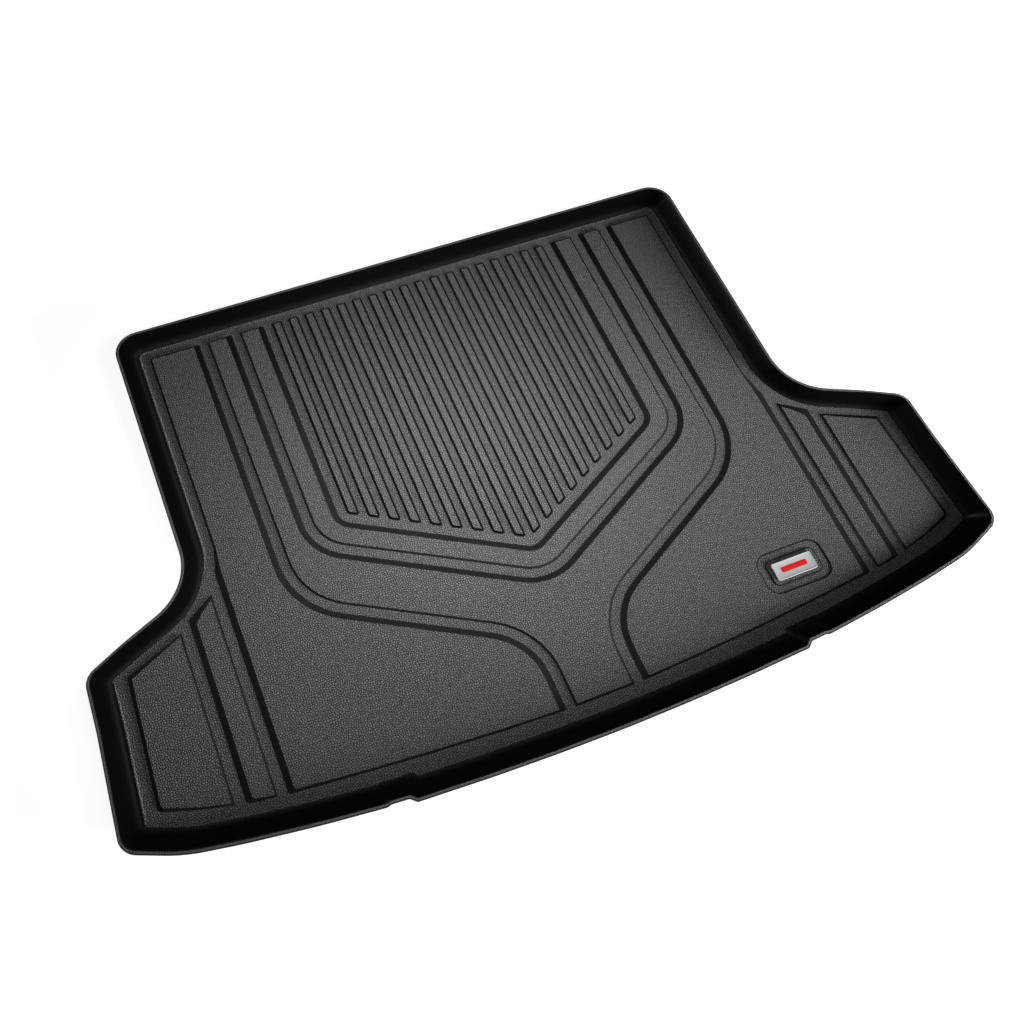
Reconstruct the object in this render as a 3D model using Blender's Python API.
"""Car boot liner: a moulded tray with a flared rim, raised floor panels and ribs, and a metal badge plate.

Plan: X runs across the car, +Y towards the rear seats, +Z up. The tray stands on Z = 0, centred in plan.
All lengths are in metres; tables and helpers that say so hold millimetres.
"""
from math import atan, ceil, cos, pi, sin, sqrt, tan

import bmesh
import bpy
from mathutils import Vector
from mathutils.geometry import delaunay_2d_cdt

# Whole plan over the rim; the plan tables below are drawn at PLAN_SIZE (mm) and stretched to this
MM = 0.001
WIDTH = 1389.8 * MM
DEPTH = 915.5 * MM
PLAN_SIZE = (1389.8, 915.5)

# Sheet and rim
SHEET = 3.0 * MM
RIM_RISE = 20.0 * MM
LIP_WIDTH = 5.5 * MM
LIP_DEPTH = 3.5 * MM
LIP_ROUND = 0.8 * MM
WALL_THICKNESS = 3.4 * MM
BEAD_HEIGHT = 1.2 * MM
BEAD_WIDTH = 7.0 * MM
ARC_TOLERANCE = 0.15 * MM

# Raised floor panels
PANEL_RISE = 1.8 * MM
FAR_CHANNEL = 19.0 * MM
STEEP_RUN = 2.0 * MM
BEVEL_RUN = 8.6 * MM
VEE_SLOPE = 0.5665
STEM_HALF_WIDTH = 45.3 * MM
STEM_CHANNEL = 21.2 * MM
SIDE_CHANNEL = 20.3 * MM
WING_CHANNEL = 22.7 * MM
SMALL_CORNER = 4.0 * MM
WING_CORNER = 9.0 * MM
STEP_ROUND = 40.0 * MM

# Ribs in the V-shaped field
RIB_COUNT = 18
RIB_PITCH = 28.3 * MM
RIB_WIDTH = 12.9 * MM
RIB_POINT_Y = -118.8 * MM
RIB_SOFT_CORNER = 4.5 * MM
RIB_SHARP_CORNER = 1.5 * MM

# V-shaped lines round the ribs, from the inside out (mm). Each row: distance from the line before, at the
# sides and on the middle line, then the radii of its shoulder and of its point or its root at the stem.
VEE_LINES = [
    (21.3, 24.7, 32, 27),
    (34.4, 38.0, 64, 62),
    (20.5, 24.3, 84, 84),
    (34.8, 87.7, 110, 124),
    (20.3, 24.1, 130, 104),
]

# Near edge that all the panels share, from the middle outwards (mm)
NEAR_EDGE = [
    (0, -395.5),
    (66.5, -394.8),
    (150, -391.0),
    (250, -384.4),
    (360, -375.2),
    (462.2, -364.7),
    (500, -359.8),
    (540.6, -351.8),
    (585, -340.5),
    (637.8, -323.0),
]

# Panels beside the wheel arch (mm): the side panel's edge steps out there, and the ends of the strip and of
# the four-sided panel follow the arch
SIDE_STEP_X = 462.2
SIDE_STEP_YS = [-8.0, 36.0]
STRIP_ARCH = [(483.2, -41.5), (500, -54.0), (519.2, -70.5)]
WING_ARCH = [(540.6, -82.0), (628.4, -121.0)]

# Badge seat on the right-hand panel, its place as in the plan tables
BADGE_PLACE = (360.0, -314.5)
MOAT_SIZE = (110.0 * MM, 69.0 * MM)
MOAT_CORNER = 20.0 * MM
MOAT_DEPTH = 1.2 * MM
BLOCK_SIZE = (84.0 * MM, 43.0 * MM)
BLOCK_CORNER = 9.0 * MM
PLATE_SIZE = (69.0 * MM, 29.5 * MM)
PLATE_CORNER = 2.5 * MM
PLATE_THICKNESS = 1.4 * MM
PLATE_EDGE = 0.4 * MM
SEAT_GAP = 0.3 * MM

FLOOR_TOP = SHEET
PANEL_TOP = FLOOR_TOP + PANEL_RISE
RIM_TOP = FLOOR_TOP + RIM_RISE
VEE_ANGLE = atan(VEE_SLOPE)

# Main lines of the plan tables (mm): foot of the far wall, and rim and foot of the side walls and wings
FAR_FOOT_Y = 429.0
SIDE_RIM_X = 506.2
SIDE_FOOT_X = 475.5
WING_RIM_X = 696.2
WING_FOOT_X = 660.5
PANEL_FAR_Y = FAR_FOOT_Y * DEPTH / PLAN_SIZE[1] - FAR_CHANNEL

# Right half of the rim and of the wall foot, from the far corner round to the middle of the near edge.
# Each row: rim x, rim y, rim corner radius, foot x, foot y, foot corner radius (mm), share of the foot bead.
WALL_CORNERS = [
    (SIDE_RIM_X, 457.75, 40, SIDE_FOOT_X, FAR_FOOT_Y, 16, 0.35),
    (SIDE_RIM_X, 400.0, 0, SIDE_FOOT_X, 396.0, 0, 1.0),
    (SIDE_RIM_X, 84.0, 0, SIDE_FOOT_X, 72.0, 0, 1.0),
    (SIDE_RIM_X, -24.6, 100, SIDE_FOOT_X, -36.7, 128, 0.0),
    (620.0, -75.2, 600, 595.0, -90.5, 500, 0.0),
    (682.6, -107.2, 30, 650.0, -117.0, 10, 0.0),
    (684.2, -152.0, 0, 651.7, -156.0, 0, 1.0),
    (685.2, -195.0, 0, 653.2, -195.0, 0, 1.0),
    (WING_RIM_X, -367.0, 29, WING_FOOT_X, -338.5, 8, 0.35),
    (619.0, -399.8, 250, 598.0, -362.3, 150, 0.35),
    (540.0, -414.2, 900, 538.0, -373.8, 900, 0.35),
    (440.0, -428.7, 1500, 435.0, -389.6, 1500, 0.35),
    (349.0, -438.9, 5, 349.0, -399.6, 2, 0.0),
    (342.0, -437.0, 5, 345.0, -398.2, 2, 0.0),
    (319.0, -438.8, 7, 299.0, -401.2, 2.5, 0.0),
    (305.0, -447.3, 7, 294.5, -408.6, 3, 0.0),
    (200.0, -453.2, 2500, 195.0, -414.1, 2500, 0.35),
    (100.0, -456.6, 2500, 98.0, -417.3, 2500, 0.35),
    (0.0, -457.97, 2500, 0.0, -418.52, 2500, 0.35),
]

# Foot bead: share of its width inside the foot, share of its height.
BEAD_SECTION = [(1.0, 0.0), (0.66, 0.8), (0.51, 1.0), (0.36, 0.8), (0.1, 0.0)]

# Wall section as shares of the sloping run and of the rise: foot, straight flare, rounded shoulder.
WALL_SECTION = [(0.0, 0.0), (0.12, 0.085), (0.25, 0.230), (0.90, 0.935), (0.96, 0.985), (1.0, 1.0)]

# Outer face, from the rim down: share of the run and of the rise where it follows the flare.
OUTER_SECTION = [(0.90, 0.935), (0.25, 0.230)]
OUTER_FOOT_RUN = 0.18


def clear_scene():
    """Starts from an empty file."""
    for obj in list(bpy.data.objects):
        bpy.data.objects.remove(obj, do_unlink=True)


def arms(corners, i):
    """Directions from a corner of a closed outline to the corner before it and to the one after it."""
    here = Vector(corners[i][:2])
    ahead = corners[(i + 1) % len(corners)]
    return (Vector(corners[i - 1][:2]) - here).normalized(), (Vector(ahead[:2]) - here).normalized()


def arc_steps(corners):
    """How many steps each corner's arc takes to stay within the tolerance."""
    steps = []
    for i, (_, _, radius) in enumerate(corners):
        back, ahead = arms(corners, i)
        turn = pi - back.angle(ahead)
        steps.append(max(2, ceil(turn / sqrt(8 * ARC_TOLERANCE / radius))) if radius > 0 else 0)
    return steps


def rounded(corners, steps):
    """Points of a closed outline of (x, y, radius) corners, with an arc of the given steps at each radius."""
    points = []
    for i, ((x, y, radius), count) in enumerate(zip(corners, steps)):
        here = Vector((x, y))
        if count == 0:
            points.append(here)
            continue
        back, ahead = arms(corners, i)
        half = back.angle(ahead) / 2
        reach = radius / tan(half)
        centre = here + (back + ahead).normalized() * (reach / cos(half))
        first = here + back * reach - centre
        last = here + ahead * reach - centre
        sweep = first.angle(last)
        for k in range(count + 1):
            share = k / count
            spoke = (first * sin((1 - share) * sweep) + last * sin(share * sweep)) / sin(sweep)
            points.append(centre + spoke)
    return points


def left_half(corners):
    """Mirror image of a right half's corners, in the opposite order, without any on the middle line."""
    return [(-x, y, r) for x, y, r in reversed(corners) if x > 0]


def plan(x, y):
    """A place from the plan tables, stretched to the part's width and depth."""
    return x * WIDTH / PLAN_SIZE[0], y * DEPTH / PLAN_SIZE[1]


def rounded_rectangle(centre, size, corner, grow=0.0):
    """Outline of a rectangle with round corners, grown by the same amount on every side."""
    hx, hy = size[0] / 2 + grow, size[1] / 2 + grow
    signs = ((1, 1), (1, -1), (-1, -1), (-1, 1))
    return [(centre[0] + sx * hx, centre[1] + sy * hy, corner + grow) for sx, sy in signs]


def add_ring(bm, points, z):
    """Adds a closed ring of vertices at one height."""
    return [bm.verts.new((p.x, p.y, z)) for p in points]


def bridge(bm, lower, upper):
    """Joins two rings of equal length with a band of quads."""
    for i in range(len(lower)):
        j = (i + 1) % len(lower)
        bm.faces.new((lower[i], lower[j], upper[j], upper[i]))


def runs_clockwise(ring):
    """True where a ring's vertices run clockwise seen from above."""
    pairs = zip(ring, ring[1:] + ring[:1])
    return sum(a.co.x * b.co.y - a.co.y * b.co.x for a, b in pairs) < 0


def fill_flat(bm, outer, holes=()):
    """Fills the flat area inside one ring and outside the others."""
    verts = []
    loops = []
    for ring in (outer, *holes):
        loop = list(range(len(verts), len(verts) + len(ring)))
        loops.append(loop[::-1] if runs_clockwise(ring) else loop)
        verts += ring
    flat = [v.co.to_2d() for v in verts]
    result = delaunay_2d_cdt(flat, [], loops, 1, 1e-9)
    for corners, owners in zip(result[2], result[5]):
        # A triangle that only the outer ring owns lies clear of every hole
        if list(owners) == [0]:
            bm.faces.new([verts[i] for i in corners])


def shifts(lift):
    """How far outside its middle a wide bevel and a steep edge is; lift is 0 at the foot and 1 on top."""
    return (0.5 - lift) * BEVEL_RUN, (0.5 - lift) * STEEP_RUN


def vee_places():
    """Side x, level on the middle line and the two radii of each V-shaped line, from the inside out."""
    side = (RIB_COUNT - 1) / 2 * RIB_PITCH + RIB_WIDTH / 2
    level = RIB_POINT_Y
    places = []
    for gap, drop, shoulder, low in VEE_LINES:
        side += gap * MM
        level -= drop * MM
        places.append((side, level, shoulder * MM, low * MM))
    return places


def vee_line(place, shift):
    """Right half of a V-shaped line moved outwards by the shift: far end, shoulder and point."""
    side, level, shoulder, low = place
    x = side + shift
    level -= shift / cos(VEE_ANGLE)
    return [(x, PANEL_FAR_Y, 0), (x, level + VEE_SLOPE * x, shoulder + shift), (0.0, level, low + shift)]


def stem_line(place, stem_x, near_y, shift):
    """Right half of a line that runs down the side, along the V and round into the stem."""
    far, turn, (_, level, _) = vee_line(place, shift)
    x = stem_x + shift
    return [far, turn, (x, level + VEE_SLOPE * x, place[3] - shift), (x, near_y, 0)]


def near_edge(x):
    """Y of the panels' shared near edge at an x."""
    places = [plan(*place) for place in NEAR_EDGE]
    for (x0, y0), (x1, y1) in zip(places, places[1:]):
        if x <= x1:
            return y0 + (y1 - y0) * (x - x0) / (x1 - x0)
    return places[-1][1]


def near_corners(low_x, high_x, shift):
    """The shared near edge's own corners between two x, moved outwards by the shift."""
    places = [plan(*place) for place in NEAR_EDGE]
    return [(x, y - shift, 0) for x, y in places if low_x < x < high_x]


def inner_band(lift):
    """V-shaped panel round the ribs."""
    wide, steep = shifts(lift)
    places = vee_places()
    outer, inner = vee_line(places[1], steep), vee_line(places[0], -wide)
    inner_left = [(-x, y, r) for x, y, r in inner[:-1]]
    return far_moved(outer + left_half(outer) + inner_left + inner[::-1], steep)


def stem_panel(lift):
    """Y-shaped panel with a stem down to the near edge."""
    wide, steep = shifts(lift)
    places = vee_places()
    outer = stem_line(places[3], STEM_HALF_WIDTH, near_edge(0) - steep, steep)
    inner = vee_line(places[2], -wide)
    inner_left = [(-x, y, r) for x, y, r in inner[:-1]]
    return far_moved(outer + left_half(outer) + inner_left + inner[::-1], steep)


def side_panel(lift):
    """Large right-hand panel between the stem and the side wall."""
    wide, steep = shifts(lift)
    stem_x = STEM_HALF_WIDTH + STEM_CHANNEL
    inner = stem_line(vee_places()[4], stem_x, near_edge(stem_x) - steep, -wide)
    (low_x, low_y), (_, high_y) = [plan(SIDE_STEP_X, y) for y in SIDE_STEP_YS]
    high_x = plan(SIDE_FOOT_X, 0)[0] - SIDE_CHANNEL
    outer = [
        (low_x + wide, near_edge(low_x) - steep, SMALL_CORNER),
        (low_x + wide, low_y, STEP_ROUND),
        (high_x + steep, high_y, STEP_ROUND),
        (high_x + steep, PANEL_FAR_Y, 0),
    ]
    return far_moved(inner + near_corners(stem_x, low_x, steep) + outer, steep)


def far_moved(corners, shift):
    """The same outline with its far edge moved outwards by the shift."""
    return [(x, y + shift if y == PANEL_FAR_Y else y, r) for x, y, r in corners]


def wing_strip(lift):
    """Narrow panel beside the wheel arch."""
    wide, steep = shifts(lift)
    ends = [plan(*place) for place in STRIP_ARCH]
    inner_x, outer_x = ends[0][0], ends[-1][0]
    near = [
        (inner_x - steep, near_edge(inner_x) - steep, 0),
        *near_corners(inner_x, outer_x, steep),
        (outer_x + wide, near_edge(outer_x) - steep, SMALL_CORNER),
    ]
    moves = (-steep, 0.0, wide)
    arch = [(x + move, y + wide, 0) for (x, y), move in zip(ends, moves)]
    return near + arch[::-1]


def wing_panel(lift):
    """Four-sided panel that fills the wing behind the wheel arch."""
    wide, steep = shifts(lift)
    (inner_x, inner_y), (outer_x, outer_y) = [plan(*place) for place in WING_ARCH]
    low_x = plan(WING_FOOT_X, 0)[0] - WING_CHANNEL
    return [
        (inner_x - steep, inner_y + wide, 0),
        (inner_x - steep, near_edge(inner_x) - steep, 0),
        *near_corners(inner_x, low_x, steep),
        (low_x + wide, near_edge(low_x) - steep, WING_CORNER),
        (outer_x + wide, outer_y + wide, SMALL_CORNER),
    ]


def rib(index, lift):
    """Straight rib whose near end is cut along the V, with a softer corner on its outer side."""
    steep = shifts(lift)[1]
    half = RIB_WIDTH / 2 + steep
    middle = (index - (RIB_COUNT - 1) / 2) * RIB_PITCH
    left, right = middle - half, middle + half
    near_left, near_right = [RIB_POINT_Y + VEE_SLOPE * abs(x) - steep for x in (left, right)]
    soft, sharp = RIB_SOFT_CORNER + steep, RIB_SHARP_CORNER + steep
    turn_left, turn_right = (soft, sharp) if middle < 0 else (sharp, soft)
    far = PANEL_FAR_Y + steep
    return [(right, far, 0), (right, near_right, turn_right), (left, near_left, turn_left), (left, far, 0)]


def flipped(corners):
    """Mirror image of an outline about the car's middle."""
    return [(-x, y, r) for x, y, r in corners]


def wall_outlines():
    """Rim and foot outlines with matching points, and the share of the foot bead at each point."""
    rim = [(*plan(row[0], row[1]), row[2] * MM) for row in WALL_CORNERS]
    foot = [(*plan(row[3], row[4]), row[5] * MM) for row in WALL_CORNERS]
    rim += left_half(rim)
    foot += left_half(foot)
    shares = [row[6] for row in WALL_CORNERS]
    shares += shares[-2::-1]
    steps = arc_steps(rim)
    bead = [share for share, count in zip(shares, steps) for _ in range(count + 1)]
    return rounded(rim, steps), rounded(foot, steps), bead


def add_wall(bm):
    """Builds the foot bead, wall, lip and outer face; returns the floor ring and the underside ring."""
    rim, foot, bead = wall_outlines()
    outward = [(r - f).normalized() for r, f in zip(rim, foot)]
    run = [(r - f).length - LIP_WIDTH for r, f in zip(rim, foot)]
    rings = []
    for inside, rise in BEAD_SECTION:
        # A low bead is a narrow one too
        points = [f - d * BEAD_WIDTH * inside * (1 + 3 * b) / 4 for f, d, b in zip(foot, outward, bead)]
        rings.append(add_ring(bm, points, FLOOR_TOP))
        for vertex, b in zip(rings[-1], bead):
            vertex.co.z += BEAD_HEIGHT * rise * b
    for across, rise in WALL_SECTION:
        points = [f + d * (w * across) for f, d, w in zip(foot, outward, run)]
        rings.append(add_ring(bm, points, FLOOR_TOP + RIM_RISE * rise))
    for inset, drop in ((LIP_ROUND, 0.0), (0.0, LIP_ROUND), (0.0, LIP_DEPTH)):
        rings.append(add_ring(bm, [r - d * inset for r, d in zip(rim, outward)], RIM_TOP - drop))
    for across, rise in OUTER_SECTION:
        points = [f + d * (w * across + WALL_THICKNESS * 0.65) for f, d, w in zip(foot, outward, run)]
        rings.append(add_ring(bm, points, FLOOR_TOP + RIM_RISE * rise - WALL_THICKNESS * 0.75))
    points = [f + d * (w * OUTER_FOOT_RUN) for f, d, w in zip(foot, outward, run)]
    rings.append(add_ring(bm, points, 0.0))
    for lower, upper in zip(rings, rings[1:]):
        bridge(bm, lower, upper)
    return rings[0], rings[-1]


def add_step(bm, lower, upper, low_z, high_z):
    """Joins two matching outlines at two heights with a sloping side; returns both rings."""
    steps = arc_steps(lower)
    rings = add_ring(bm, rounded(lower, steps), low_z), add_ring(bm, rounded(upper, steps), high_z)
    bridge(bm, *rings)
    return rings


def add_panel(bm, outline, holes=()):
    """Raises a panel from the floor; returns its ring on the floor, which the floor leaves open."""
    foot, top = add_step(bm, outline(0), outline(1), FLOOR_TOP, PANEL_TOP)
    fill_flat(bm, top, holes)
    return foot


def add_badge_seat(bm):
    """Sinks the moat and leaves the block for the plate; returns the moat's ring on the panel."""
    grow = STEEP_RUN / 2
    bottom = PANEL_TOP - MOAT_DEPTH
    outlines = [rounded_rectangle(plan(*BADGE_PLACE), MOAT_SIZE, MOAT_CORNER, g) for g in (grow, -grow)]
    edge, moat = add_step(bm, *outlines, PANEL_TOP, bottom)
    outlines = [rounded_rectangle(plan(*BADGE_PLACE), BLOCK_SIZE, BLOCK_CORNER, g) for g in (grow, -grow)]
    block, seat = add_step(bm, *outlines, bottom, PANEL_TOP)
    fill_flat(bm, moat, [block])
    fill_flat(bm, seat)
    return edge


def finish(bm, name, colour, roughness, metallic):
    """Turns the mesh into a named object with its own material, faces outward."""
    bmesh.ops.recalc_face_normals(bm, faces=bm.faces)
    mesh = bpy.data.meshes.new(name)
    bm.to_mesh(mesh)
    bm.free()
    obj = bpy.data.objects.new(name, mesh)
    bpy.context.scene.collection.objects.link(obj)
    material = bpy.data.materials.new(name + "_material")
    material.use_nodes = True
    shader = material.node_tree.nodes["Principled BSDF"]
    shader.inputs["Base Color"].default_value = (*colour, 1.0)
    shader.inputs["Roughness"].default_value = roughness
    shader.inputs["Metallic"].default_value = metallic
    mesh.materials.append(material)
    return obj


def build_tray():
    """The moulded liner, one closed body."""
    bm = bmesh.new()
    floor_ring, under_ring = add_wall(bm)
    seat = add_badge_seat(bm)
    open_rings = [add_panel(bm, inner_band), add_panel(bm, stem_panel)]
    open_rings.append(add_panel(bm, side_panel, [seat]))
    open_rings.append(add_panel(bm, lambda lift: flipped(side_panel(lift))))
    for outline in (wing_strip, wing_panel):
        open_rings.append(add_panel(bm, outline))
        open_rings.append(add_panel(bm, lambda lift, draw=outline: flipped(draw(lift))))
    for index in range(RIB_COUNT):
        open_rings.append(add_panel(bm, lambda lift, i=index: rib(i, lift)))
    fill_flat(bm, floor_ring, open_rings)
    fill_flat(bm, under_ring)
    return finish(bm, "liner_tray", (0.055, 0.055, 0.058), 0.72, 0.0)


def build_badge():
    """The bare metal plate on its block."""
    bm = bmesh.new()
    base = PANEL_TOP + SEAT_GAP
    heights = ((0.0, 0.0), (0.0, PLATE_THICKNESS - PLATE_EDGE), (-PLATE_EDGE, PLATE_THICKNESS))
    rings = []
    steps = arc_steps(rounded_rectangle(plan(*BADGE_PLACE), PLATE_SIZE, PLATE_CORNER))
    for grow, lift in heights:
        outline = rounded_rectangle(plan(*BADGE_PLACE), PLATE_SIZE, PLATE_CORNER, grow)
        rings.append(add_ring(bm, rounded(outline, steps), base + lift))
    for lower, upper in zip(rings, rings[1:]):
        bridge(bm, lower, upper)
    fill_flat(bm, rings[0])
    fill_flat(bm, rings[-1])
    return finish(bm, "badge_plate", (0.78, 0.78, 0.79), 0.35, 0.3)


clear_scene()
build_tray()
build_badge()
